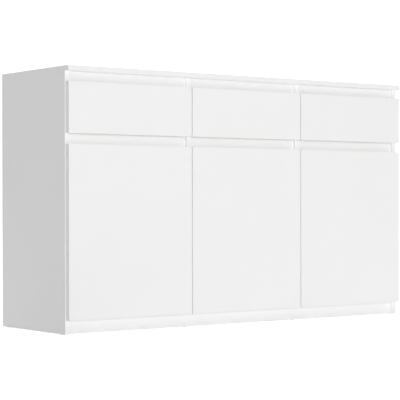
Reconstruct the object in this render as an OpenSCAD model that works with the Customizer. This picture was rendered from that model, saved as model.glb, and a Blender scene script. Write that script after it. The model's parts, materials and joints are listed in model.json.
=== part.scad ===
// Sideboard with three drawers over three doors. The fronts have no handles: a recess
// above each row of fronts is the finger grip, closed at the back by a set-back rail.
// Origin: middle of the footprint, on the floor. X is the width, the fronts face -Y.

/* [Overall size] */
// Width over the side panels
width = 1400; // [1100:10:1800]
// Height from the floor to the top surface
height = 830; // [690:5:1000]
// Depth from the faces of the fronts to the back
depth = 420; // [350:5:520]

/* [Boards] */
// Thickness of the carcass boards
board_t = 16; // [15:0.5:20]
// Thickness of the doors and drawer fronts
front_t = 18; // [16:0.5:22]
// Thickness of the drawer sides and backs
drawer_t = 12; // [10:0.5:16]
// Thickness of the back panels and drawer bottoms
panel_t = 3; // [2.5:0.5:4]

/* [Fronts] */
// Height of the drawer fronts
drawer_front_h = 160; // [130:5:220]
// Height of the finger recess above the drawer fronts
top_grip_h = 32; // [25:1:45]
// Height of the finger recess above the doors
door_grip_h = 33; // [25:1:45]
// Height of the doors' lower edge above the floor
toe_h = 46; // [38:1:90]
// Gap between neighbouring fronts
seam = 4; // [3:0.5:5]
// Step from the outside of the side panels to the fronts
front_inset = 2; // [1:0.5:4]
// Gap between the fronts and the carcass edges
front_gap = 2.5; // [2.2:0.1:4]

/* [Rails, plinth and shelves] */
// Setback of the grip rails from the carcass edges
rail_setback = 10; // [6:1:20]
// How far a rail reaches behind the front next to it
rail_lap = 12; // [8:1:18]
// Setback of the front plinth from the carcass edges
plinth_setback = 16; // [10:1:50]
// Distance of the rear plinth from the back
rear_plinth_inset = 40; // [20:5:80]
// Setback of the shelves from the carcass edges
shelf_setback = 24; // [20:1:60]
// Gap between a shelf and the panel beside it
shelf_clear = 1; // [1:0.25:2]
// Thickness of the glides under the panels
glide_t = 2; // [2:0.5:5]

/* [Drawers] */
// Gap below the drawer sides
drawer_clear_below = 10; // [6:1:16]
// Gap above the drawer sides
drawer_clear_above = 14; // [8:1:20]
// Thickness of a drawer runner, panel to drawer side
runner_t = 12.7; // [12.5:0.1:14]
// Height of a drawer runner
runner_h = 45; // [35:1:50]
// Height of the drawer bottom above the sides' lower edge
bottom_up = 10; // [8:1:16]

/* [Hinges] */
// Distance of the hinge centres from the door's ends
hinge_inset = 90; // [70:5:120]
// Radius of the cup bore
cup_r = 17.5; // [17:0.5:20]
// Door material left between the cup bore and the edge
cup_edge = 5; // [3:0.5:6]
// Radius of the hinge pins
pin_r = 1.5; // [1:0.25:2]

/* [Hidden] */
$fn = 40;

WHITE = [0.95, 0.95, 0.95];
STEEL = [0.76, 0.77, 0.78];
LEFT = 0;
MIDDLE = 1;
RIGHT = 2;
BAYS = [LEFT, MIDDLE, RIGHT];
ends = [-1, 1];
overrun = 1;             // a cutter runs this far past the face that it opens

// Planes across the depth
y_front = -depth / 2;
y_front_back = y_front + front_t;
y_case = y_front_back + front_gap;
y_back = depth / 2;
y_case_back = y_back - panel_t;

// Planes up the height
top_z = height - board_t;
drawer_z1 = top_z - top_grip_h;
drawer_z0 = drawer_z1 - drawer_front_h;
door_z1 = drawer_z0 - door_grip_h;
door_z0 = toe_h;
bottom_reveal = 2;       // the doors hang this far below the bottom panel
bottom_z = door_z0 + bottom_reveal;
bottom_top = bottom_z + board_t;
rail_z0 = door_z1 - rail_lap;
rail_z1 = drawer_z0 + rail_lap;
top_rail_z = drawer_z1 - rail_lap;

// Places across the width: three equal bays between four upright boards
bay_w = (width - 4 * board_t) / 3;
pitch = bay_w + board_t;
function upright_x(i) = -width / 2 + board_t / 2 + i * pitch;
function bay_x0(i) = upright_x(i) + board_t / 2;
function bay_x1(i) = bay_x0(i) + bay_w;
function front_x0(i) = i == LEFT ? -width / 2 + front_inset : upright_x(i) + seam / 2;
function front_x1(i) = i == RIGHT ? width / 2 - front_inset : upright_x(i + 1) - seam / 2;

// Knock-down fittings
dowel_r = 4;
dowel_len = 30;
cam_r = 7.5;
cam_depth = 12.5;
cam_dist = 24;           // from the joint to the middle of the cam
bolt_r = 3.5;
bolt_thread = 11;
bolt_in_cam = 3;
bolt_len = cam_dist - cam_r + bolt_in_cam + bolt_thread;
joint_inset = 60;        // first fitting from the carcass edge
dowel_step = 32;         // dowel from its cam
joint_ys = [y_case + joint_inset, y_case_back - joint_inset];
dowel_ys = [joint_ys[0] + dowel_step, joint_ys[1] - dowel_step];
pin_dowel_r = 3;         // thin dowels at the rails' and plinths' ends
pin_dowel_in = 7;        // length in the upright
pin_dowel_out = 18;      // length in the rail
confirmat_r = 2.5;
confirmat_head_r = 5;
confirmat_head = 4;
confirmat_len = 50;

// Rails and plinths
rail_y = y_case + rail_setback;
plinth_y = y_case + plinth_setback;
rear_plinth_y = y_case_back - rear_plinth_inset - board_t;

// Back panels and their nails
back_margin = 2;         // bare edge of the carcass round the back
back_joint = 1;          // gap between two back panels
back_z0 = bottom_z + back_margin;
back_z1 = height - back_margin;
nail_r = 0.7;
nail_len = 20;
nail_head_r = 1.5;
nail_head = 0.6;
nail_edge = 5;           // from the edge of the back panel

// Shelves and their pins
shelf_z = (bottom_top + rail_z0) / 2;
shelf_gap_back = 2;
shelf_pin_r = 2.5;
shelf_pin_in = 7;
shelf_pin_out = 9;
shelf_collar_r = 4;
shelf_collar = 0.8;
shelf_pin_inset = 40;
shelf_pin_step = 50;     // spacing of the rows of pin holes
shelf_pin_z = shelf_z - shelf_pin_r;
shelf_pin_ys = [y_case + shelf_setback + shelf_pin_inset, y_case_back - shelf_pin_inset];

// Glides
glide_r = 6.5;
glide_nail_r = 1;
glide_nail = 12;
glide_inset = 30;

// Wall brackets
bracket_w = 20;
bracket_leg = 30;
bracket_t = 2;
bracket_hole_r = 3;
bracket_hole_z = top_z - 18;
bracket_hole_clear = 0.5;
screw_r = 2;
screw_len = 11;
screw_head_r = 3.8;
screw_head = 2;
head_clear = 0.1;        // round a screw in the sheet metal that it holds
seat_air = 0.02;         // under a screw's head

// Bumpers
bumper_r = 2.7;
bumper_air = 0.3;        // between a bumper and the closed front
bumper_inset = 22;
bumper_up = 4;           // a door's lower bumper above the bottom panel

// Drawer boxes and runners
runner_unit = 50;        // runners come in steps of this length
runner_setback = 2;
runner_room = 10;        // free behind the runner
runner_len = runner_unit * floor((y_case_back - y_case - runner_setback - runner_room) / runner_unit);
runner_y0 = y_case + runner_setback;
runner_y1 = runner_y0 + runner_len;
runner_plate = 1.2;      // sheet thickness
runner_air = 0.5;        // between the nested channels
runner_flange = 10.5;    // depth of the cabinet channel
runner_tip = 3.5;        // where the drawer channel begins
runner_screw_inset = 40;
runner_head_r = 3.4;
runner_shank = 7;        // short, as two of them meet in a partition
box_z0 = rail_z1 + drawer_clear_below;
box_z1 = top_rail_z - drawer_clear_above;
runner_z = (box_z0 + box_z1) / 2;
groove_in = 5;
groove_clear = 0.2;
bottom_z0 = box_z0 + bottom_up;
function box_x0(i) = bay_x0(i) + runner_t;
function box_x1(i) = bay_x1(i) - runner_t;

// Hinges, in a frame at the door's outer front edge: u runs across the door from that
// edge, v runs back from its face. The arm pivot, the cup pin, the elbow and the edge
// are the corners of a parallelogram, so the door turns about its edge.
cup_u = cup_edge + cup_r;
cup_fit = 0.1;           // radial, cup in bore
cup_bore = 12;
cup_h = 11.5;
cup_wall = 0.8;
flange_t = 1;
flange_r = 19.5;
flange_half = 27;
flange_u0 = cup_u - 7;
flange_u1 = cup_u + 13;
cup_screw_u = cup_u + 6;
cup_screw_z = 24;
cup_screw_len = 11;
cup_screw_head = 1.2;
cup_pin_u = cup_u + 3.5;
cup_pin_v = front_t - 6;
arm_u = board_t - front_inset + 10;
arm_v = front_t + front_gap + 6.5;
elbow_u = arm_u + cup_pin_u;
elbow_v = arm_v + cup_pin_v;
pin_clear = 0.05;        // radial running clearance of the hinge pins
knuckle_r = 3;
knuckle_half = 3;
cheek_r = 3.5;
cheek_w = 5;
cheek_t = 1.5;
cheek_air = 0.3;
cheek_z = knuckle_half + cheek_air;
rivet_r = 2.4;
rivet_t = 0.6;
link_w = 3;
arm_half_u = 4;
arm_half_z = 6.5;
arm_step = 7;            // pivot to the thick part of the arm
arm_len = 66;
plate_v0 = arm_v + 12;
plate_half_z = 9;
wing_t = 3;
wing_half_z = 23;
wing_half_v = 6.5;
wing_screw_v = front_t + front_gap + 37;
wing_screw_z = 16;
wing_screw_r = 2.5;
wing_screw_head_r = 4;
wing_screw_head = 1.2;
arm_screw_r = 4;
arm_screw_h = 1.5;
hinge_zs = [door_z0 + hinge_inset, door_z1 - hinge_inset];
function hinge_dir(i) = i == RIGHT ? -1 : 1;
function hinge_x(i) = i == RIGHT ? front_x1(i) : front_x0(i);
function wall_u(i) = i == RIGHT ? front_x1(i) - bay_x1(i) : bay_x0(i) - front_x0(i);

// A box between two opposite corners
module block(from, to) {
  translate(from) cube(to - from);
}

// A cylinder that starts at p and runs along X (to the right) or Y (to the back)
module bar_x(p, r, h) {
  translate(p) rotate([0, 90, 0]) cylinder(r = r, h = h);
}

module bar_y(p, r, h) {
  translate(p) rotate([-90, 0, 0]) cylinder(r = r, h = h);
}

module bar_z(p, r, h) {
  translate(p) cylinder(r = r, h = h);
}

// ---- Fittings that join the carcass

// Uprights to the top: the cam sits in the upright's face, the bolt in the top
function cam_side(i) = i < 2 ? 1 : -1;

module top_cams(i, extra = 0) {
  face = upright_x(i) + cam_side(i) * board_t / 2;
  x = cam_side(i) > 0 ? face - cam_depth : face - extra;
  for (y = joint_ys) bar_x([x, y, top_z - cam_dist], cam_r, cam_depth + extra);
}

module top_bolts(i) {
  for (y = joint_ys) {
    bar_z([upright_x(i), y, top_z + bolt_thread - bolt_len], bolt_r, bolt_len);
  }
}

module top_dowels(i) {
  for (y = dowel_ys) bar_z([upright_x(i), y, top_z - 2 * dowel_len / 3], dowel_r, dowel_len);
}

// Bottom panel to the sides: the cam sits in the panel's underside
module bottom_cams(s, extra = 0) {
  x = s * (width / 2 - board_t - cam_dist);
  for (y = joint_ys) bar_z([x, y, bottom_z - extra], cam_r, cam_depth + extra);
}

module bottom_bolts(s) {
  mid = s * (width / 2 - board_t + bolt_thread - bolt_len / 2);
  for (y = joint_ys) {
    bar_x([mid - bolt_len / 2, y, bottom_z + board_t / 2], bolt_r, bolt_len);
  }
}

module bottom_dowels(s) {
  mid = s * (width / 2 - board_t + bolt_thread - dowel_len / 2);
  for (y = dowel_ys) {
    bar_x([mid - dowel_len / 2, y, bottom_z + board_t / 2], dowel_r, dowel_len);
  }
}

// Partitions to the bottom panel
module confirmats(i) {
  for (y = joint_ys) {
    bar_z([upright_x(i), y, bottom_z], confirmat_head_r, confirmat_head);
    bar_z([upright_x(i), y, bottom_z], confirmat_r, confirmat_len);
  }
}

// Thin dowels from a cross board into the uprights at x0 (to its right) and x1
module end_dowels(x0, x1, y, zs) {
  for (z = zs) {
    bar_x([x0 - pin_dowel_in, y, z], pin_dowel_r, pin_dowel_in + pin_dowel_out);
    bar_x([x1 - pin_dowel_out, y, z], pin_dowel_r, pin_dowel_in + pin_dowel_out);
  }
}

function thirds(z0, z1) = [(2 * z0 + z1) / 3, (z0 + 2 * z1) / 3];
plinth_zs = [(glide_t + bottom_z) / 2];

module bay_dowels(i) {
  y = rail_y + board_t / 2;
  end_dowels(bay_x0(i), bay_x1(i), y, thirds(top_rail_z, top_z));
  end_dowels(bay_x0(i), bay_x1(i), y, thirds(rail_z0, rail_z1));
}

module plinth_dowels() {
  for (y = [plinth_y, rear_plinth_y]) {
    end_dowels(bay_x0(LEFT), bay_x1(RIGHT), y + board_t / 2, plinth_zs);
  }
}

// ---- Shelf pins, runners' screws and hinge plates' screws

// Three rows of pin holes in the walls of bay i, the middle one for the shelf's pins
module shelf_pin_holes(i) {
  for (row = [-1, 0, 1], y = shelf_pin_ys) {
    z = shelf_pin_z + row * shelf_pin_step;
    bar_x([bay_x0(i) - shelf_pin_in, y, z], shelf_pin_r, shelf_pin_in + overrun);
    bar_x([bay_x1(i) - overrun, y, z], shelf_pin_r, shelf_pin_in + overrun);
  }
}

// Its children once on each wall of bay i, with u running away from the wall
module at_runners(i) {
  translate([bay_x0(i), 0, runner_z]) children();
  translate([bay_x1(i), 0, runner_z]) mirror([1, 0, 0]) children();
}

// Screws with their heads flush in a runner's web at u and their shanks beside it
module runner_screws(u, shank_u, clear = 0) {
  for (y = [runner_y0 + runner_screw_inset, runner_y1 - runner_screw_inset]) {
    bar_x([u, y, 0], runner_head_r + clear, runner_plate);
    bar_x([shank_u, y, 0], screw_r, runner_shank);
  }
}

module cabinet_runner_screws(i, clear = 0) {
  at_runners(i) runner_screws(0, -runner_shank, clear);
}

module drawer_runner_screws(i, clear = 0) {
  at_runners(i) runner_screws(runner_t - runner_plate, runner_t, clear);
}

// Moves its children into the hinge frame of door i, once for each of its hinges
module at_hinges(i) {
  for (z = hinge_zs) {
    translate([hinge_x(i), y_front, z]) {
      if (hinge_dir(i) > 0) children();
      else mirror([1, 0, 0]) children();
    }
  }
}

module plate_screws(i) {
  at_hinges(i) for (s = ends) {
    bar_x([wall_u(i) - screw_len, wing_screw_v, s * wing_screw_z], wing_screw_r,
          screw_len + wing_t);
  }
}

module plate_screw_heads(i) {
  at_hinges(i) for (s = ends) {
    bar_x([wall_u(i) + wing_t, wing_screw_v, s * wing_screw_z], wing_screw_head_r,
          wing_screw_head);
  }
}

// ---- Carcass

module upright_cuts(i) {
  top_cams(i, overrun);
  top_bolts(i);
  top_dowels(i);
}

// What the fittings of bay i cut into the uprights beside it
module bay_cuts(i) {
  bay_dowels(i);
  shelf_pin_holes(i);
  cabinet_runner_screws(i);
  plate_screws(i);
}

module glide_nails() {
  for (p = glide_spots()) bar_z([p[0], p[1], glide_t / 2], glide_nail_r, glide_nail);
}

function glide_spots() = [
  for (s = ends, y = [y_case + glide_inset, y_case_back - glide_inset])
    [s * (width - board_t) / 2, y],
  for (s = ends, y = [plinth_y, rear_plinth_y]) [s * pitch / 2, y + board_t / 2]
];

module top_panel() {
  color(WHITE) difference() {
    block([-width / 2, y_front, top_z], [width / 2, y_case_back, height]);
    for (i = [0 : 3]) {
      top_bolts(i);
      top_dowels(i);
    }
    bracket_screws();
  }
}

module side_panel(s) {
  i = s < 0 ? 0 : 3;
  x = s < 0 ? -width / 2 : width / 2 - board_t;
  color(WHITE) difference() {
    block([x, y_case, glide_t], [x + board_t, y_case_back, top_z]);
    upright_cuts(i);
    bay_cuts(s < 0 ? LEFT : RIGHT);
    bottom_bolts(s);
    bottom_dowels(s);
    plinth_dowels();
    glide_nails();
  }
}

module partition(i) {
  x = upright_x(i) - board_t / 2;
  color(WHITE) difference() {
    block([x, y_case, bottom_top], [x + board_t, y_case_back, top_z]);
    upright_cuts(i);
    bay_cuts(i - 1);
    bay_cuts(i);
    confirmats(i);
  }
}

module bottom_panel() {
  color(WHITE) difference() {
    block([bay_x0(LEFT), y_case, bottom_z], [bay_x1(RIGHT), y_case_back, bottom_top]);
    for (s = ends) {
      bottom_cams(s, overrun);
      bottom_bolts(s);
      bottom_dowels(s);
    }
    for (i = [1, 2]) confirmats(i);
  }
}

module plinth(y) {
  color(WHITE) difference() {
    block([bay_x0(LEFT), y, glide_t], [bay_x1(RIGHT), y + board_t, bottom_z]);
    plinth_dowels();
    glide_nails();
  }
}

module top_rails() {
  color(WHITE) for (i = BAYS) difference() {
    block([bay_x0(i), rail_y, top_rail_z], [bay_x1(i), rail_y + board_t, top_z]);
    bay_dowels(i);
  }
}

module grip_rail(i) {
  color(WHITE) difference() {
    block([bay_x0(i), rail_y, rail_z0], [bay_x1(i), rail_y + board_t, rail_z1]);
    bay_dowels(i);
  }
}

module shelf(i) {
  color(WHITE) block([bay_x0(i) + shelf_clear, y_case + shelf_setback, shelf_z],
                     [bay_x1(i) - shelf_clear, y_case_back - shelf_gap_back, shelf_z + board_t]);
}

// Back panels meet on the partitions' middles
function back_x0(i) = i == LEFT ? -width / 2 + back_margin : upright_x(i) + back_joint / 2;
function back_x1(i) = i == RIGHT ? width / 2 - back_margin : upright_x(i + 1) - back_joint / 2;
function bracket_x(s) = s * pitch;

module back(i) {
  color([0.93, 0.92, 0.9]) difference() {
    block([back_x0(i), y_case_back, back_z0], [back_x1(i), y_back, back_z1]);
    for (s = ends) bar_y([bracket_x(s), y_case_back - overrun, bracket_hole_z],
                         bracket_hole_r + bracket_hole_clear, panel_t + 2 * overrun);
  }
}

// ---- Small parts fixed to the carcass

module shelf_pins() {
  color(STEEL) for (i = BAYS, y = shelf_pin_ys) {
    len = shelf_pin_in + shelf_pin_out;
    bar_x([bay_x0(i) - shelf_pin_in, y, shelf_pin_z], shelf_pin_r, len);
    bar_x([bay_x0(i), y, shelf_pin_z], shelf_collar_r, shelf_collar);
    bar_x([bay_x1(i) - shelf_pin_out, y, shelf_pin_z], shelf_pin_r, len);
    bar_x([bay_x1(i) - shelf_collar, y, shelf_pin_z], shelf_collar_r, shelf_collar);
  }
}

module cam_locks() {
  color("silver") {
    for (i = [0 : 3]) difference() {
      top_cams(i);
      top_bolts(i);
    }
    for (s = ends) difference() {
      bottom_cams(s);
      bottom_bolts(s);
    }
  }
}

module cam_bolts() {
  color("gainsboro") {
    for (i = [0 : 3]) top_bolts(i);
    for (s = ends) bottom_bolts(s);
  }
}

module dowels() {
  color("burlywood") {
    for (i = [0 : 3]) top_dowels(i);
    for (s = ends) bottom_dowels(s);
    for (i = BAYS) bay_dowels(i);
    plinth_dowels();
  }
}

module bracket_screws() {
  for (s = ends) bar_z([bracket_x(s), y_case_back - 2 * bracket_leg / 3, top_z - bracket_t],
                       screw_r, screw_len);
}

module screws() {
  color(STEEL) {
    for (i = [1, 2]) confirmats(i);
    for (i = BAYS) {
      cabinet_runner_screws(i);
      plate_screws(i);
      plate_screw_heads(i);
    }
    bracket_screws();
    for (s = ends) bar_z([bracket_x(s), y_case_back - 2 * bracket_leg / 3,
                          top_z - bracket_t - screw_head], screw_head_r, screw_head);
  }
}

nail_rows = 5;
nail_columns = 3;

module nail(x, z) {
  bar_y([x, y_back - nail_len, z], nail_r, nail_len);
  bar_y([x, y_back - nail_head, z], nail_head_r, nail_head);
}

module back_nails() {
  z_low = bottom_z + board_t / 2;
  z_high = height - board_t / 2;
  color(STEEL) for (i = BAYS) {
    for (k = [0 : nail_rows - 1]) {
      z = z_low + (k + 0.5) * (z_high - z_low) / nail_rows;
      nail(back_x0(i) + nail_edge, z);
      nail(back_x1(i) - nail_edge, z);
    }
    for (k = [0 : nail_columns - 1], z = [z_low, z_high]) {
      nail(back_x0(i) + (k + 0.5) * (back_x1(i) - back_x0(i)) / nail_columns, z);
    }
  }
}

module floor_glides() {
  color("whitesmoke") {
    for (p = glide_spots()) bar_z([p[0], p[1], 0], glide_r, glide_t);
    glide_nails();
  }
}

module wall_brackets() {
  color(STEEL) for (s = ends) difference() {
    x0 = bracket_x(s) - bracket_w / 2;
    x1 = bracket_x(s) + bracket_w / 2;
    union() {
      block([x0, y_case_back - bracket_leg, top_z - bracket_t], [x1, y_case_back, top_z]);
      block([x0, y_case_back - bracket_t, top_z - bracket_leg], [x1, y_case_back, top_z]);
    }
    bracket_screws();
    bar_y([bracket_x(s), y_case_back - bracket_t - overrun, bracket_hole_z], bracket_hole_r,
          bracket_t + 2 * overrun);
  }
}

module bumper(x, z) {
  bar_y([x, y_case - front_gap + bumper_air, z], bumper_r, front_gap - bumper_air);
}

// Middles of the strips where the fronts of bay i lie over the uprights beside it
function strip_x0(i) = (front_x0(i) + bay_x0(i)) / 2;
function strip_x1(i) = (front_x1(i) + bay_x1(i)) / 2;

module bumpers() {
  color([0.9, 0.92, 0.94]) for (i = BAYS) {
    for (x = [strip_x0(i), strip_x1(i)], z = [drawer_z0 + bumper_inset, drawer_z1 - bumper_inset]) {
      bumper(x, z);
    }
    free_x = hinge_dir(i) > 0 ? strip_x1(i) : strip_x0(i);
    for (z = [bottom_top + bumper_up, door_z1 - bumper_inset]) bumper(free_x, z);
  }
}

// ---- Drawer runners: three nested channels on each side of the drawer

// A channel along Y with its web at u0 and its flanges reaching to u1
module channel(u0, u1, half_h) {
  web = u1 > u0 ? runner_plate : -runner_plate;
  block([min(u0, u0 + web), runner_y0, -half_h], [max(u0, u0 + web), runner_y1, half_h]);
  for (s = ends) {
    z0 = s > 0 ? half_h - runner_plate : -half_h;
    block([min(u0, u1), runner_y0, z0], [max(u0, u1), runner_y1, z0 + runner_plate]);
  }
}

nest = runner_plate + runner_air;

module cabinet_runners() {
  color(STEEL) for (i = BAYS) difference() {
    at_runners(i) channel(0, runner_flange, runner_h / 2);
    cabinet_runner_screws(i, head_clear);
  }
}

module mid_runners(i) {
  color(STEEL) at_runners(i) {
    channel(nest, runner_t - nest, runner_h / 2 - nest);
  }
}

module drawer_runners(i) {
  color(STEEL) {
    difference() {
      at_runners(i) channel(runner_t, runner_tip, runner_h / 2 - 2 * nest);
      drawer_runner_screws(i, head_clear);
    }
    drawer_runner_screws(i);
  }
}

// ---- Drawers

function box_back(i) = runner_y1 - drawer_t;

module drawer_groove(i) {
  block([box_x0(i) + drawer_t - groove_in, y_front_back - groove_in, bottom_z0],
        [box_x1(i) - drawer_t + groove_in, runner_y1 + overrun,
         bottom_z0 + panel_t + groove_clear]);
}

module drawer_front(i) {
  color(WHITE) difference() {
    block([front_x0(i), y_front, drawer_z0], [front_x1(i), y_front_back, drawer_z1]);
    drawer_groove(i);
  }
}

module drawer_sides(i) {
  color([0.96, 0.96, 0.96]) difference() {
    for (x = [box_x0(i), box_x1(i) - drawer_t]) {
      block([x, y_front_back, box_z0], [x + drawer_t, runner_y1, box_z1]);
    }
    drawer_groove(i);
    drawer_runner_screws(i);
  }
}

module drawer_back(i) {
  color([0.96, 0.96, 0.96]) block([box_x0(i) + drawer_t, box_back(i),
                                   bottom_z0 + panel_t + groove_clear],
                                  [box_x1(i) - drawer_t, runner_y1, box_z1]);
}

module drawer_bottom(i) {
  slack = groove_clear;
  color([0.93, 0.92, 0.9]) block([box_x0(i) + drawer_t - groove_in + slack,
                                  y_front_back - groove_in + slack, bottom_z0],
                                 [box_x1(i) - drawer_t + groove_in - slack, runner_y1,
                                  bottom_z0 + panel_t]);
}

// ---- Doors and hinges

module cup_screws(clear = 0) {
  for (s = ends) bar_y([cup_screw_u, front_t - cup_screw_len, s * cup_screw_z],
                       screw_r + clear, cup_screw_len + flange_t + seat_air);
}

module door(i) {
  color(WHITE) difference() {
    block([front_x0(i), y_front, door_z0], [front_x1(i), y_front_back, door_z1]);
    at_hinges(i) {
      bar_y([cup_u, front_t - cup_bore, 0], cup_r, cup_bore + overrun);
      cup_screws();
    }
  }
}

module hinge_cup() {
  inner_r = cup_r - cup_fit - cup_wall;
  difference() {
    union() {
      bar_y([cup_u, front_t - cup_h, 0], cup_r - cup_fit, cup_h);
      bar_y([cup_u, front_t, 0], flange_r, flange_t);
      block([flange_u0, front_t, -flange_half], [flange_u1, front_t + flange_t, flange_half]);
    }
    bar_y([cup_u, front_t - cup_h + cup_wall, 0], inner_r, cup_h + overrun);
    cup_screws(head_clear);
  }
  pin_half = sqrt(pow(cup_r - cup_fit, 2) - pow(cup_pin_u - cup_u + pin_r, 2));
  bar_z([cup_pin_u, cup_pin_v, -pin_half], pin_r, 2 * pin_half);
}

module hinge_cups(i) {
  color(STEEL) at_hinges(i) {
    hinge_cup();
    cup_screws();
    for (s = ends) bar_y([cup_screw_u, front_t + flange_t + seat_air, s * cup_screw_z],
                         screw_head_r, cup_screw_head);
  }
}

// A flat bar from p to q with round ends
module link_outline(p, q, end_r, w) {
  run = q - p;
  translate(p) circle(r = end_r);
  translate(q) circle(r = end_r);
  translate(p) rotate(atan2(run[1], run[0])) translate([0, -w / 2]) square([norm(run), w]);
}

arm_pivot = [arm_u, arm_v];
cup_pivot = [cup_pin_u, cup_pin_v];
elbow = [elbow_u, elbow_v];

// Two cheeks with their rivets, from the arm's pivot to the elbow
module arm_link() {
  reach = cheek_z + cheek_t;
  for (z = [-reach, cheek_z]) translate([0, 0, z]) linear_extrude(cheek_t) {
    link_outline(arm_pivot, elbow, cheek_r, cheek_w);
  }
  for (p = [arm_pivot, elbow]) {
    bar_z([p[0], p[1], -reach], pin_r, 2 * reach);
    for (z = [-reach - rivet_t, reach]) bar_z([p[0], p[1], z], rivet_r, rivet_t);
  }
}

// One bar from the elbow to the pin in the cup
module cup_link() {
  translate([0, 0, -knuckle_half]) linear_extrude(2 * knuckle_half) difference() {
    link_outline(cup_pivot, elbow, knuckle_r, link_w);
    for (p = [cup_pivot, elbow]) translate(p) circle(r = pin_r + pin_clear);
  }
}

module arm_links(i) {
  color(STEEL) at_hinges(i) arm_link();
}

module cup_links(i) {
  color(STEEL) at_hinges(i) cup_link();
}

module hinge_arm() {
  translate([0, 0, -knuckle_half]) linear_extrude(2 * knuckle_half) difference() {
    union() {
      translate(arm_pivot) circle(r = knuckle_r);
      translate([arm_u - knuckle_r, arm_v]) square([2 * knuckle_r, 2 * arm_step]);
    }
    translate(arm_pivot) circle(r = pin_r + pin_clear);
  }
  block([arm_u - arm_half_u, arm_v + arm_step, -arm_half_z],
        [arm_u + arm_half_u, arm_v + arm_len, arm_half_z]);
  for (k = [0.45, 0.8]) {
    bar_x([arm_u + arm_half_u, arm_v + k * arm_len, 0], arm_screw_r, arm_screw_h);
  }
}

module hinge_arms() {
  color(STEEL) for (i = BAYS) at_hinges(i) hinge_arm();
}

module hinge_plates() {
  color(STEEL) for (i = BAYS) difference() {
    at_hinges(i) {
      block([wall_u(i), plate_v0, -plate_half_z],
            [arm_u - arm_half_u, arm_v + arm_len, plate_half_z]);
      block([wall_u(i), wing_screw_v - wing_half_v, -wing_half_z],
            [wall_u(i) + wing_t, wing_screw_v + wing_half_v, wing_half_z]);
    }
    plate_screws(i);
  }
}

top_panel();
side_panel(-1);  // side_panel_left
side_panel(1);  // side_panel_right
partition(1);  // partition_left
partition(2);  // partition_right
bottom_panel();
plinth(plinth_y);  // plinth_front
plinth(rear_plinth_y);  // plinth_rear
top_rails();
grip_rail(LEFT);  // grip_rail_left
grip_rail(MIDDLE);  // grip_rail_middle
grip_rail(RIGHT);  // grip_rail_right
shelf(LEFT);  // shelf_left
shelf(MIDDLE);  // shelf_middle
shelf(RIGHT);  // shelf_right
back(LEFT);  // back_left
back(MIDDLE);  // back_middle
back(RIGHT);  // back_right
shelf_pins();
cam_locks();
cam_bolts();
dowels();
screws();
back_nails();
floor_glides();
wall_brackets();
bumpers();
cabinet_runners();
hinge_plates();
hinge_arms();
drawer_front(LEFT);  // drawer_left_front
drawer_sides(LEFT);  // drawer_left_sides
drawer_back(LEFT);  // drawer_left_back
drawer_bottom(LEFT);  // drawer_left_bottom
drawer_runners(LEFT);  // drawer_left_runners
mid_runners(LEFT);  // drawer_left_mid_runners
drawer_front(MIDDLE);  // drawer_middle_front
drawer_sides(MIDDLE);  // drawer_middle_sides
drawer_back(MIDDLE);  // drawer_middle_back
drawer_bottom(MIDDLE);  // drawer_middle_bottom
drawer_runners(MIDDLE);  // drawer_middle_runners
mid_runners(MIDDLE);  // drawer_middle_mid_runners
drawer_front(RIGHT);  // drawer_right_front
drawer_sides(RIGHT);  // drawer_right_sides
drawer_back(RIGHT);  // drawer_right_back
drawer_bottom(RIGHT);  // drawer_right_bottom
drawer_runners(RIGHT);  // drawer_right_runners
mid_runners(RIGHT);  // drawer_right_mid_runners
door(LEFT);  // door_left
hinge_cups(LEFT);  // door_left_cups
arm_links(LEFT);  // door_left_arm_links
cup_links(LEFT);  // door_left_cup_links
door(MIDDLE);  // door_middle
hinge_cups(MIDDLE);  // door_middle_cups
arm_links(MIDDLE);  // door_middle_arm_links
cup_links(MIDDLE);  // door_middle_cup_links
door(RIGHT);  // door_right
hinge_cups(RIGHT);  // door_right_cups
arm_links(RIGHT);  // door_right_arm_links
cup_links(RIGHT);  // door_right_cup_links
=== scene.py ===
import json
import math
import random

import bmesh
import bpy
from mathutils import Matrix, Vector

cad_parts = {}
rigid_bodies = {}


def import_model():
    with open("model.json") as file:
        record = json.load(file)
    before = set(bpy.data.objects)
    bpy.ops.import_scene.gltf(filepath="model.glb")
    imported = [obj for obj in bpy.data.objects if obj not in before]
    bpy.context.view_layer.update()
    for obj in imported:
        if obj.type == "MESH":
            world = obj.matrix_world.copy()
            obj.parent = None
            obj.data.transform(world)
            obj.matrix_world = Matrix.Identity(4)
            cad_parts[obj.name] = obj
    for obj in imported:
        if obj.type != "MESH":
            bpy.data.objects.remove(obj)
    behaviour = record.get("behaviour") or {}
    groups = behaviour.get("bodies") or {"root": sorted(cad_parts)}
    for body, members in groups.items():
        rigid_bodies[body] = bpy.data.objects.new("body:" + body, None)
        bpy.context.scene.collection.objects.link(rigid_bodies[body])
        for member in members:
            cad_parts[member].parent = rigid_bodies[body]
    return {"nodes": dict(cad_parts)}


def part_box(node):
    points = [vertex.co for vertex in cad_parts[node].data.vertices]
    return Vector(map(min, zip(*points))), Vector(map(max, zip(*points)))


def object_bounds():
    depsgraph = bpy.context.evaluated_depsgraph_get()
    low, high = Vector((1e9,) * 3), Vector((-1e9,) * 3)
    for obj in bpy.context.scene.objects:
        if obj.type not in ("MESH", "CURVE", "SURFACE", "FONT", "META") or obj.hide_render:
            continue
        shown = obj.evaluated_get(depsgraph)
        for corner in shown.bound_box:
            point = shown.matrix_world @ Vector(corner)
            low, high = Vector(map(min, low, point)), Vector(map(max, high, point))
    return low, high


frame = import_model()
cad_lo, cad_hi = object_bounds()
nodes = frame["nodes"]
scene = bpy.context.scene
random.seed(11)

MM = 0.001
AXES = "XYZ"


# ---- Shader building

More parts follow.
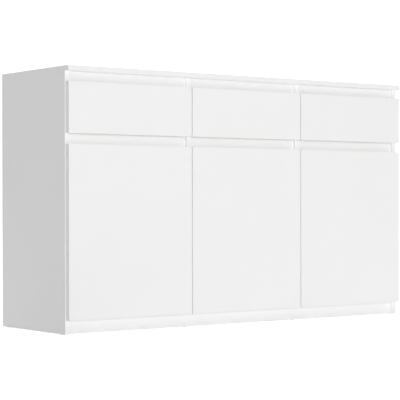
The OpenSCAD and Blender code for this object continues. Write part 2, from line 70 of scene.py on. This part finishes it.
class Tree:
    """A material or world node tree with short calls for the nodes used here."""

    def __init__(self, tree):
        self.tree = tree
        tree.nodes.clear()

    def put(self, kind, **props):
        """A new shader node with its properties set."""
        node = self.tree.nodes.new("ShaderNode" + kind)
        for key, value in props.items():
            setattr(node, key, value)
        return node

    def wire(self, source, socket):
        """Sets a socket to a number or colour, or links another socket to it."""
        if isinstance(source, (int, float, tuple, list)):
            socket.default_value = source
        else:
            self.tree.links.new(source, socket)

    def math(self, op, a, b=0.0, clamp=False):
        node = self.put("Math", operation=op, use_clamp=clamp)
        self.wire(a, node.inputs[0])
        self.wire(b, node.inputs[1])
        return node.outputs[0]

    def place(self, scale=None):
        """Object coordinates in metres, stretched by scale where one is given."""
        coord = self.put("TexCoord").outputs["Object"]
        if scale is None:
            return coord
        node = self.put("Mapping")
        node.inputs["Scale"].default_value = scale
        self.wire(coord, node.inputs["Vector"])
        return node.outputs[0]

    def noise(self, scale, detail=2.0, rough=0.5, at=None, distortion=0.0):
        node = self.put("TexNoise")
        node.inputs["Scale"].default_value = scale
        node.inputs["Detail"].default_value = detail
        node.inputs["Roughness"].default_value = rough
        node.inputs["Distortion"].default_value = distortion
        self.wire(at or self.place(), node.inputs["Vector"])
        return node.outputs["Fac"]

    def cells(self, scale):
        """A random number for each cell of a Voronoi pattern."""
        node = self.put("TexVoronoi")
        node.inputs["Scale"].default_value = scale
        self.wire(self.place(), node.inputs["Vector"])
        colour = self.put("SeparateColor")
        self.wire(node.outputs["Color"], colour.inputs[0])
        return colour.outputs[0]

    def wave(self, scale, axis, distortion, detail, at=None):
        node = self.put("TexWave", bands_direction=axis)
        node.inputs["Scale"].default_value = scale
        node.inputs["Distortion"].default_value = distortion
        node.inputs["Detail"].default_value = detail
        self.wire(at or self.place(), node.inputs["Vector"])
        return node.outputs["Fac"]

    def span(self, value, lo, hi, out_lo=0.0, out_hi=1.0):
        """The value's place between lo and hi, spread from out_lo to out_hi."""
        node = self.put("MapRange")
        for socket, number in zip(node.inputs[1:5], (lo, hi, out_lo, out_hi)):
            socket.default_value = number
        self.wire(value, node.inputs[0])
        return node.outputs[0]

    def blend(self, share, a, b):
        """Colour a, going over to colour b as share goes from 0 to 1."""
        node = self.put("Mix", data_type="RGBA")
        self.wire(share, node.inputs[0])
        self.wire(a, node.inputs[6])
        self.wire(b, node.inputs[7])
        return node.outputs[2]

    def bump(self, height, depth, strength=1.0, below=None):
        node = self.put("Bump")
        node.inputs["Distance"].default_value = depth
        node.inputs["Strength"].default_value = strength
        self.wire(height, node.inputs["Height"])
        if below is not None:
            self.wire(below, node.inputs["Normal"])
        return node.outputs[0]

    def part(self, vector, axis):
        parts = self.put("SeparateXYZ")
        self.wire(vector, parts.inputs[0])
        return parts.outputs[axis]

    def facing(self, axis):
        """The part of the surface's own normal along an axis, 0 to 2."""
        return self.part(self.put("TexCoord").outputs["Normal"], axis)

    def along(self, axis):
        """The place along an axis, 0 to 2, in metres."""
        return self.part(self.place(), axis)


def grey(value, warm=0.0):
    """A grey with its red raised and its blue lowered by the share warm."""
    return (value * (1 + warm), value, value * (1 - warm), 1.0)


def surface(name):
    """A new material: its node tree and its Principled shader."""
    mat = bpy.data.materials.new(name)
    mat.use_nodes = True
    tree = Tree(mat.node_tree)
    shader = tree.put("BsdfPrincipled")
    out = tree.put("OutputMaterial")
    tree.wire(shader.outputs[0], out.inputs[0])
    return mat, tree, shader


# ---- Materials: boards

BOARD_WHITE = 0.865
# Darker white for the plinth: painted shade for its place set back under the doors
PLINTH_WHITE_PAINTED_SHADE = 0.84
# Darker white for the top rails: painted shade for the recess under the top panel
TOP_RAIL_WHITE_PAINTED_SHADE = 0.815
BAND = 0.8 * MM           # thickness of the edge band
GLUE_HALF = 0.09 * MM     # half the glue line's width
PAPER = 0.3 * MM          # the decor paper over the chips
CHIP_DARK = (0.33, 0.21, 0.11, 1)
CHIP_MEDIUM = (0.52, 0.36, 0.21, 1)
CHIP_PALE = (0.62, 0.47, 0.3, 1)


def band_distance(tree, lo, hi, faces):
    """Distance inward from the nearest of the board's banded faces, such as "-X"."""
    nearest = None
    for face in faces:
        axis = AXES.index(face[1])
        at = tree.along(axis)
        if face[0] == "-":
            gap = tree.math("SUBTRACT", at, lo[axis])
        else:
            gap = tree.math("SUBTRACT", hi[axis], at)
        nearest = gap if nearest is None else tree.math("MINIMUM", nearest, gap)
    return nearest


def bare_edges(t, lo, hi, faces, thin):
    """1 on the unbanded edges between the decor papers, or None if all are banded."""
    bare = None
    for axis in AXES.replace(thin, ""):
        way = t.facing(AXES.index(axis))
        for sign in "-+":
            if sign + axis in faces:
                continue
            turned = t.math("MULTIPLY", way, -1.0 if sign == "-" else 1.0)
            here = t.math("GREATER_THAN", turned, 0.7)
            bare = here if bare is None else t.math("MAXIMUM", bare, here)
    if bare is None:
        return None
    across = AXES.index(thin)
    above = t.math("SUBTRACT", t.along(across), lo[across] + PAPER)
    below = t.math("SUBTRACT", hi[across] - PAPER, t.along(across))
    core = t.math("GREATER_THAN", t.math("MINIMUM", above, below), 0.0)
    return t.math("MULTIPLY", bare, core)


def chipboard(t):
    """Chips of wood pressed in resin."""
    chips = t.blend(t.cells(420), CHIP_MEDIUM, CHIP_DARK)
    return t.blend(t.span(t.noise(700, 3), 0.45, 0.7), chips, CHIP_PALE)


def melamine(node, faces, thin, white):
    """Melamine-faced chipboard, thin along one axis: satin faces, a band glued to the
    edges that faces names, and bare chipboard on its other edges."""
    lo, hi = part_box(node)
    mat, t, s = surface("melamine_" + node)
    cloud = t.noise(2.3, 3, 0.55)
    speck = t.noise(900, 2, 0.6)
    face = t.blend(t.span(cloud, 0.3, 0.7), grey(white * 0.99, 0.001), grey(white, 0.0))
    face = t.blend(t.span(speck, 0.5, 0.64), face, grey(white * 0.95, 0.002))
    gap = band_distance(t, lo, hi, faces)
    banded = t.math("LESS_THAN", gap, BAND)
    glue = t.math("COMPARE", gap, BAND)
    glue.node.inputs[2].default_value = GLUE_HALF
    band = t.blend(t.span(t.noise(40, 2), 0.3, 0.7), grey(white * 0.995), grey(white * 0.975))
    colour = t.blend(banded, face, band)
    colour = t.blend(glue, colour, grey(white * 0.72, 0.02))
    dull = t.span(t.noise(35, 3), 0.25, 0.75, 0.43, 0.5)
    dull = t.math("SUBTRACT", dull, t.math("MULTIPLY", banded, 0.07))
    height = t.math("MULTIPLY", glue, -1.0)
    bare = bare_edges(t, lo, hi, faces, thin)
    if bare is not None:
        colour = t.blend(bare, colour, chipboard(t))
        dull = t.math("ADD", dull, t.math("MULTIPLY", bare, 0.4), clamp=True)
        rough = t.math("MULTIPLY", bare, t.noise(500, 4, 0.7))
        height = t.math("ADD", height, t.math("MULTIPLY", rough, 2.5))
    pearl = t.bump(t.noise(720, 3, 0.6), 0.2 * MM)
    t.wire(colour, s.inputs["Base Color"])
    t.wire(dull, s.inputs["Roughness"])
    t.wire(t.bump(height, 0.06 * MM, 0.8, pearl), s.inputs["Normal"])
    s.inputs["Specular IOR Level"].default_value = 0.42
    return mat


def foil_board():
    """Drawer sides and backs: thin board wrapped in a smooth white foil."""
    mat, t, s = surface("drawer_foil")
    cloud = t.noise(6, 3, 0.5)
    colour = t.blend(t.span(cloud, 0.3, 0.7), grey(0.82, 0.004), grey(0.845, 0.002))
    fibre = t.noise(260, 3, 0.6, at=t.place((1, 0.08, 1)))
    colour = t.blend(t.span(fibre, 0.6, 0.8), colour, grey(0.79, 0.006))
    t.wire(colour, s.inputs["Base Color"])
    t.wire(t.span(t.noise(60, 2), 0.3, 0.7, 0.36, 0.44), s.inputs["Roughness"])
    t.wire(t.bump(fibre, 0.03 * MM, 0.5), s.inputs["Normal"])
    return mat


def hardboard(name, painted):
    """Hardboard: lacquered white on the side that painted names by its axis and sign,
    and raw brown with the press screen's imprint on the other side."""
    axis, sign = painted
    mat, t, s = surface(name)
    way = t.math("MULTIPLY", t.facing(AXES.index(axis)), sign)
    front = t.math("GREATER_THAN", way, 0.5)
    mottle = t.noise(9, 4, 0.6)
    fibre = t.noise(520, 5, 0.75, distortion=0.6)
    brown = t.blend(t.span(mottle, 0.3, 0.7), (0.235, 0.135, 0.068, 1), (0.3, 0.18, 0.095, 1))
    brown = t.blend(t.span(fibre, 0.45, 0.72), brown, (0.4, 0.26, 0.15, 1))
    brown = t.blend(t.span(t.noise(150, 3, 0.8), 0.62, 0.72), brown, (0.14, 0.078, 0.04, 1))
    white = t.blend(t.span(mottle, 0.3, 0.7), grey(0.80, 0.006), grey(0.83, 0.004))
    white = t.blend(t.span(t.noise(420, 3, 0.6), 0.55, 0.75), white, grey(0.77, 0.01))
    t.wire(t.blend(front, brown, white), s.inputs["Base Color"])
    t.wire(t.span(front, 0, 1, 0.82, 0.48), s.inputs["Roughness"])
    other = "Z" if axis == "Y" else "Y"
    screen = t.math("MULTIPLY", t.wave(165, "X", 0.6, 1), t.wave(165, other, 0.6, 1))
    raw = t.math("SUBTRACT", 1.0, front)
    height = t.math("MULTIPLY", t.math("ADD", screen, fibre), raw)
    height = t.math("ADD", height, t.math("MULTIPLY", t.noise(420, 3), 0.3))
    t.wire(t.bump(height, 0.12 * MM, 0.7), s.inputs["Normal"])
    return mat


def beech():
    """Beech dowels, their grain along X."""
    mat, t, s = surface("beech_dowel")
    grain = t.wave(90, "Y", 3.5, 3, at=t.place((0.3, 1, 1)))
    flecks = t.noise(500, 3, 0.6, at=t.place((0.15, 1, 1)))
    wood = t.blend(grain, (0.6, 0.4, 0.235, 1), (0.7, 0.5, 0.32, 1))
    wood = t.blend(t.span(flecks, 0.6, 0.7), wood, (0.42, 0.25, 0.13, 1))
    t.wire(wood, s.inputs["Base Color"])
    t.wire(t.span(grain, 0, 1, 0.55, 0.7), s.inputs["Roughness"])
    t.wire(t.bump(flecks, 0.05 * MM, 0.6), s.inputs["Normal"])
    return mat


# ---- Materials: fittings

STRETCH = {"X": (0.03, 1, 1), "Y": (1, 0.03, 1), "Z": (1, 1, 0.03)}


def metal(name, tint, rough_lo, rough_hi, brushed=None, spangle=0.0):
    """Plated or stamped metal: fine drawing lines along the axis brushed, if it has
    one, and a share of zinc spangle."""
    mat, t, s = surface(name)
    cloud = t.noise(45, 4, 0.6)
    dark = tuple(c * 0.86 for c in tint[:3]) + (1,)
    colour = t.blend(t.span(cloud, 0.3, 0.7), dark, tint)
    if spangle:
        bright = tuple(min(1.0, c * 1.12) for c in tint[:3]) + (1,)
        colour = t.blend(t.math("MULTIPLY", t.cells(260), spangle), colour, bright)
    t.wire(colour, s.inputs["Base Color"])
    s.inputs["Metallic"].default_value = 1.0
    lines = t.noise(1400, 2, 0.6, at=t.place(STRETCH.get(brushed)))
    t.wire(t.span(lines, 0.3, 0.7, rough_lo, rough_hi), s.inputs["Roughness"])
    t.wire(t.bump(lines, 0.02 * MM, 0.5), s.inputs["Normal"])
    return mat


def plastic(name, colour, rough, clear=0.0):
    """Moulded plastic, which lets the share clear of the light through."""
    mat, t, s = surface(name)
    tone = t.noise(120, 2)
    low = tuple(c * 0.94 for c in colour[:3]) + (1,)
    t.wire(t.blend(t.span(tone, 0.3, 0.7), low, colour), s.inputs["Base Color"])
    t.wire(t.span(t.noise(400, 2), 0.3, 0.7, rough - 0.05, rough + 0.08), s.inputs["Roughness"])
    t.wire(t.bump(t.noise(1500, 2), 0.02 * MM, 0.6), s.inputs["Normal"])
    if clear:
        s.inputs["Transmission Weight"].default_value = clear
        s.inputs["IOR"].default_value = 1.49
    return mat


# ---- Materials of the CAD nodes

def dress(node, mat):
    """Gives the whole of a CAD node one material."""
    obj = nodes[node]
    if not obj.material_slots:
        obj.data.materials.append(mat)
    for place in obj.material_slots:
        place.material = mat


# white is the board's face colour; the darker whites given to the plinth and top rails are
# painted shade
def board(node, faces, thin, white=BOARD_WHITE):
    dress(node, melamine(node, faces, thin, white))


BAYS = ("left", "middle", "right")
ALL_ROUND = ("-X", "+X", "-Z", "+Z")

board("top_panel", ("-Y", "-X", "+X"), "Z")
for side in ("left", "right"):
    board("side_panel_" + side, ("-Y", "+Y"), "X")
    board("partition_" + side, ("-Y",), "X")
board("bottom_panel", ("-Y",), "Z")
# The plinth boards get a darker white, which is painted shade under the doors
for node in ("plinth_front", "plinth_rear"):
    board(node, ("-Z",), "Y", PLINTH_WHITE_PAINTED_SHADE)
# The top rails get a darker white, which is painted shade in the recess under the top
board("top_rails", ("-Z",), "Y", TOP_RAIL_WHITE_PAINTED_SHADE)
for bay in BAYS:
    board("grip_rail_" + bay, ("-Z", "+Z"), "Y")
    board("shelf_" + bay, ("-Y",), "Z")
    board("drawer_%s_front" % bay, ALL_ROUND, "Y")
    board("door_" + bay, ALL_ROUND, "Y")

foil = foil_board()
back_board = hardboard("hardboard_back", ("Y", -1.0))
base_board = hardboard("hardboard_base", ("Z", 1.0))
zinc = metal("zinc_plate", (0.69, 0.70, 0.71, 1), 0.28, 0.42, spangle=0.5)
die_cast = metal("die_cast_zinc", (0.6, 0.6, 0.6, 1), 0.42, 0.58)
runner_metal = metal("runner_zinc", (0.72, 0.73, 0.75, 1), 0.22, 0.36, brushed="Y", spangle=0.25)
nickel = metal("nickel_plate", (0.74, 0.72, 0.69, 1), 0.16, 0.28)
glide = plastic("glide_white", (0.7, 0.7, 0.69, 1), 0.42)
bumper = plastic("bumper_clear", (0.86, 0.88, 0.9, 1), 0.25, clear=0.6)
wood = beech()
for bay in BAYS:
    dress("back_" + bay, back_board)
    dress("drawer_%s_sides" % bay, foil)
    dress("drawer_%s_back" % bay, foil)
    dress("drawer_%s_bottom" % bay, base_board)
    for node in ("drawer_%s_runners", "drawer_%s_mid_runners"):
        dress(node % bay, runner_metal)
    for node in ("door_%s_cups", "door_%s_arm_links", "door_%s_cup_links"):
        dress(node % bay, nickel)
dress("cabinet_runners", runner_metal)
for node in ("hinge_plates", "hinge_arms", "shelf_pins"):
    dress(node, nickel)
for node in ("screws", "back_nails", "wall_brackets", "cam_bolts"):
    dress(node, zinc)
dress("cam_locks", die_cast)
dress("dowels", wood)
dress("floor_glides", glide)
dress("bumpers", bumper)


# ---- Rounded edges on the CAD nodes

MERGE_WITHIN = 0.005 * MM
SHARP_ANGLE = math.radians(40)


def close_seams(node):
    """Joins the imported mesh's split corners, so that it is one closed surface."""
    weld = nodes[node].modifiers.new("weld", "WELD")
    weld.merge_threshold = MERGE_WITHIN


def soften(node, radius, segments=2):
    """Closes a node's seams and rounds its sharp edges."""
    close_seams(node)
    bevel = nodes[node].modifiers.new("round", "BEVEL")
    bevel.width = radius
    bevel.segments = segments
    bevel.limit_method = "ANGLE"
    bevel.angle_limit = SHARP_ANGLE
    bevel.use_clamp_overlap = True
    bevel.harden_normals = True


for bay in BAYS:
    soften("drawer_%s_front" % bay, 0.6 * MM)
    soften("door_" + bay, 0.6 * MM)
    soften("shelf_" + bay, 0.5 * MM)
    soften("grip_rail_" + bay, 0.5 * MM)
    soften("drawer_%s_sides" % bay, 0.8 * MM)
    soften("drawer_%s_back" % bay, 0.8 * MM)
    soften("drawer_%s_runners" % bay, 0.35 * MM)
    soften("drawer_%s_mid_runners" % bay, 0.35 * MM)
    soften("door_%s_cups" % bay, 0.25 * MM)
    soften("door_%s_arm_links" % bay, 0.3 * MM)
    soften("door_%s_cup_links" % bay, 0.4 * MM)
for node in ("top_panel", "side_panel_left", "side_panel_right", "partition_left",
             "partition_right", "bottom_panel", "plinth_front", "plinth_rear", "top_rails"):
    soften(node, 0.5 * MM)
soften("cabinet_runners", 0.35 * MM)
soften("hinge_arms", 0.9 * MM, 3)
soften("hinge_plates", 0.6 * MM)
soften("wall_brackets", 0.4 * MM)
soften("screws", 0.3 * MM)
soften("shelf_pins", 0.4 * MM)
soften("floor_glides", 0.5 * MM)
soften("bumpers", 0.5 * MM)
soften("cam_locks", 0.3 * MM)
for bay in BAYS:
    soften("back_" + bay, 0.3 * MM, 1)
    soften("drawer_%s_bottom" % bay, 0.3 * MM, 1)
for node in ("back_nails", "cam_bolts", "dowels"):
    close_seams(node)


# ---- Driver recesses cut into the screws and cams

CORNER_GRID = 2e5         # steps per metre in which corners are matched
FLAT_WITHIN = 0.02 * MM   # how level the points of one cap are
ROUND_WITHIN = 0.1        # how far a cap's two widths may differ
RECESS_REACH = 0.62       # a recess's arm, as a share of the head's radius
RECESS_TAPER = 0.62       # size of a recess's bottom against its mouth
RECESS_START = 0.15 * MM  # a recess's mouth lies this far outside the head


def solids_of(node):
    """The corner points of each separate solid of a CAD node."""
    mesh = nodes[node].data
    keys, owner = {}, []
    for v in mesh.vertices:
        key = tuple(round(c * CORNER_GRID) for c in v.co)
        owner.append(keys.setdefault(key, len(keys)))
    root = list(range(len(keys)))

    def find(i):
        while root[i] != i:
            root[i] = root[root[i]]
            i = root[i]
        return i

    for face in mesh.polygons:
        ids = [find(owner[v]) for v in face.vertices]
        for i in ids[1:]:
            root[find(i)] = find(ids[0])
    groups = {}
    for v in mesh.vertices:
        groups.setdefault(find(owner[v.index]), []).append(v.co.copy())
    return list(groups.values())


def discs(points, axis, sign, apart):
    """Centres and radii of the round caps at one end of a solid along an axis. Points
    of one cap have a neighbour closer than apart."""
    end = max(p[axis] * sign for p in points)
    cap = [p for p in points if p[axis] * sign > end - FLAT_WITHIN]
    piles = []
    for p in cap:
        near = [pile for pile in piles if any((p - q).length < apart for q in pile)]
        joined = [p]
        for pile in near:
            joined += pile
            piles.remove(pile)
        piles.append(joined)
    found = []
    for pile in piles:
        lo = Vector([min(p[k] for p in pile) for k in range(3)])
        hi = Vector([max(p[k] for p in pile) for k in range(3)])
        across = [hi[k] - lo[k] for k in range(3) if k != axis]
        if abs(across[0] - across[1]) < ROUND_WITHIN * across[0]:
            found.append(((lo + hi) / 2, across[0] / 2))
    return found


def cross_recess(bm, centre, axis, sign, radius, slot, depth):
    """A tapering cross for a head of the radius, its slots a share of that wide. It
    starts just outside the head, runs depth into it and is turned at random."""
    out = Vector([sign if k == axis else 0.0 for k in range(3)])
    side = Vector((0, 0, 1)) if axis != 2 else Vector((1, 0, 0))
    side = Matrix.Rotation(random.uniform(0, math.pi / 2), 3, out) @ side
    other = out.cross(side)
    rings = []
    for height, size in ((RECESS_START, 1.0), (-depth, RECESS_TAPER)):
        ring = []
        r = radius * RECESS_REACH * size
        w = radius * slot * size / 2
        for quarter in range(4):
            c = math.cos(quarter * math.pi / 2)
            s = math.sin(quarter * math.pi / 2)
            for a, b in ((r, -w), (r, w), (w, w)):
                flat = side * (a * c - b * s) + other * (a * s + b * c)
                ring.append(bm.verts.new(centre + flat + out * height))
        rings.append(ring)
    count = len(rings[0])
    bm.faces.new(rings[0])
    bm.faces.new(list(reversed(rings[1])))
    for k in range(count):
        n = (k + 1) % count
        bm.faces.new((rings[0][n], rings[0][k], rings[1][k], rings[1][n]))


def cut(node, build):
    """Cuts what build() draws out of a CAD node's shown shape, by a modifier."""
    mesh = bpy.data.meshes.new(node + "_recesses")
    bm = bmesh.new()
    build(bm)
    bmesh.ops.recalc_face_normals(bm, faces=bm.faces)
    bm.to_mesh(mesh)
    bm.free()
    cutter = bpy.data.objects.new(node + "_recesses", mesh)
    scene.collection.objects.link(cutter)
    cutter.hide_render = True
    cutter.hide_viewport = True
    cutter.parent = nodes[node].parent
    boolean = nodes[node].modifiers.new("recesses", "BOOLEAN")
    boolean.operation = "DIFFERENCE"
    boolean.solver = "EXACT"
    boolean.object = cutter


def head_end(points):
    """The axis of a screw, the end that its head is on, and the caps at that end."""
    lo = [min(p[k] for p in points) for k in range(3)]
    hi = [max(p[k] for p in points) for k in range(3)]
    axis = max(range(3), key=lambda k: hi[k] - lo[k])
    ends = [(discs(points, axis, sign, 6 * MM), sign) for sign in (-1, 1)]
    found, sign = max(ends, key=lambda e: max((r for _, r in e[0]), default=0.0))
    return axis, sign, found


def screw_recesses(node, depth):
    """Recesses in the heads of a node's separate screws."""
    def build(bm):
        for points in solids_of(node):
            axis, sign, found = head_end(points)
            for centre, radius in found:
                cross_recess(bm, centre, axis, sign, radius, 0.3, depth)
    cut(node, build)


def cap_recesses(node, axis, smallest, biggest, depth):
    """Recesses in a node's round caps at either end along the axis."""
    def build(bm):
        for points in solids_of(node):
            for sign in (-1, 1):
                for centre, radius in discs(points, axis, sign, 2.5 * MM):
                    if smallest < radius < biggest:
                        cross_recess(bm, centre, axis, sign, radius, 0.26, depth)
    cut(node, build)


screw_recesses("screws", 0.8 * MM)
cap_recesses("cam_locks", 0, 5 * MM, 9 * MM, 2.5 * MM)
cap_recesses("hinge_arms", 0, 3 * MM, 5 * MM, 0.9 * MM)
for bay in BAYS:
    cap_recesses("door_%s_cups" % bay, 1, 3 * MM, 4.5 * MM, 0.8 * MM)
    cap_recesses("drawer_%s_runners" % bay, 0, 2.5 * MM, 4 * MM, 0.7 * MM)


# ---- Camera: the photograph's viewing angle

STAND_AZIMUTH = math.radians(36.876)   # from the front, towards the object's left
STAND_DISTANCE = 5.0442                # from the object's middle
STAND_HEIGHT = 0.4106
YAW = math.radians(36.420)
PITCH = math.radians(-0.188)
ROLL = math.radians(-0.102)


def camera():
    """A camera that stands and looks as the photograph's did."""
    data = bpy.data.cameras.new("camera")
    data.sensor_width = 36.0
    data.lens = 131.26
    data.shift_x = 0.003
    data.shift_y = 0.016
    data.clip_end = 60.0
    cam = bpy.data.objects.new("camera", data)
    scene.collection.objects.link(cam)
    middle = (cad_lo + cad_hi) / 2
    cam.location = (middle.x - STAND_DISTANCE * math.sin(STAND_AZIMUTH),
                    middle.y - STAND_DISTANCE * math.cos(STAND_AZIMUTH),
                    STAND_HEIGHT)
    ahead = Vector((math.sin(YAW) * math.cos(PITCH), math.cos(YAW) * math.cos(PITCH),
                    math.sin(PITCH)))
    right = Vector((math.cos(YAW), -math.sin(YAW), 0.0))
    up = right.cross(ahead)
    right_rolled = right * math.cos(ROLL) + up * math.sin(ROLL)
    up_rolled = up * math.cos(ROLL) - right * math.sin(ROLL)
    turn = Matrix((right_rolled, up_rolled, -ahead)).transposed()
    cam.rotation_mode = "QUATERNION"
    cam.rotation_quaternion = turn.to_quaternion()
    scene.camera = cam


camera()


# ---- Studio: floor, world and soft lights

FLOOR_HALF = 14.0
FLOOR_DROP = 0.2 * MM     # keeps the floor clear of what stands on it
FLOOR_GLOW = 0.82         # light that the camera alone sees the floor give out
BACKDROP = 1.0            # light that the camera alone sees behind the object
WORLD_LEVEL = 0.18        # soft light from all round
WORLD_LEAN = 0.06         # how much more of it comes from the right and the back
SUN_SPREAD = math.radians(50)


def seen_only(tree, strength):
    """A strength that only the camera's own rays see, so it lights nothing."""
    return tree.math("MULTIPLY", tree.put("LightPath").outputs["Is Camera Ray"], strength)


def floor():
    mesh = bpy.data.meshes.new("floor")
    bm = bmesh.new()
    level = cad_lo.z - FLOOR_DROP
    corners = [(-1, -1), (1, -1), (1, 1), (-1, 1)]
    bm.faces.new([bm.verts.new((x * FLOOR_HALF, y * FLOOR_HALF, level)) for x, y in corners])
    bm.to_mesh(mesh)
    bm.free()
    obj = bpy.data.objects.new("floor", mesh)
    scene.collection.objects.link(obj)
    mat, t, s = surface("floor_white")
    tone = t.noise(3, 2)
    t.wire(t.blend(t.span(tone, 0.3, 0.7), grey(0.88), grey(0.9)), s.inputs["Base Color"])
    s.inputs["Roughness"].default_value = 0.9
    s.inputs["Specular IOR Level"].default_value = 0.1
    s.inputs["Emission Color"].default_value = (1, 1, 1, 1)
    t.wire(seen_only(t, FLOOR_GLOW), s.inputs["Emission Strength"])
    mesh.materials.append(mat)


floor()


def studio_world():
    """A white backdrop for the camera, and a dimmer soft light from all round."""
    world = bpy.data.worlds.new("studio")
    world.use_nodes = True
    t = Tree(world.node_tree)
    parts = t.put("SeparateXYZ")
    t.wire(t.put("TexCoord").outputs["Generated"], parts.inputs[0])
    lean = t.math("ADD", t.math("MULTIPLY", parts.outputs[0], WORLD_LEAN),
                  t.math("MULTIPLY", parts.outputs[1], WORLD_LEAN))
    level = t.math("ADD", t.math("ADD", lean, WORLD_LEVEL), seen_only(t, BACKDROP))
    back = t.put("Background")
    t.wire(level, back.inputs["Strength"])
    back.inputs["Color"].default_value = (1, 1, 1, 1)
    out = t.put("OutputWorld")
    t.wire(back.outputs[0], out.inputs[0])
    scene.world = world


studio_world()


def aimed(name, data, place, aim):
    """Hangs a light at a place and turns it towards aim."""
    obj = bpy.data.objects.new(name, data)
    scene.collection.objects.link(obj)
    obj.location = place
    obj.rotation_mode = "QUATERNION"
    obj.rotation_quaternion = (Vector(aim) - Vector(place)).to_track_quat("-Z", "Y")


def soft_box(name, place, aim, size, power):
    """A rectangular panel of light, its power in watts."""
    data = bpy.data.lights.new(name, "AREA")
    data.shape = "RECTANGLE"
    data.size, data.size_y = size
    data.energy = power
    aimed(name, data, place, aim)


def fill(name, toward, strength, shadows):
    """A wide, even light from far away, shining along toward. Without shadows it
    reaches into the finger recesses as much as the fronts."""
    data = bpy.data.lights.new(name, "SUN")
    data.energy = strength
    data.angle = SUN_SPREAD
    data.use_shadow = shadows
    aimed(name, data, (0, 0, 0), toward)


soft_box("key", (-0.9, -8.0, 1.3), (0, 0, 0.45), (1.3, 0.9), 185)
fill("fill_front_left", (0.98, 1, -0.1), 1.17, False)
fill("wash_front_left", (1, 1, -0.7), 0.26, True)
fill("fill_floor", (0, 0, 1), 1.12, False)
fill("wash_back_right", (-1, -1, -1), 0.9, True)
fill("overhead", (0.1, 0.1, -1), 0.68, True)

scene.view_settings.view_transform = "Standard"
scene.view_settings.look = "None"
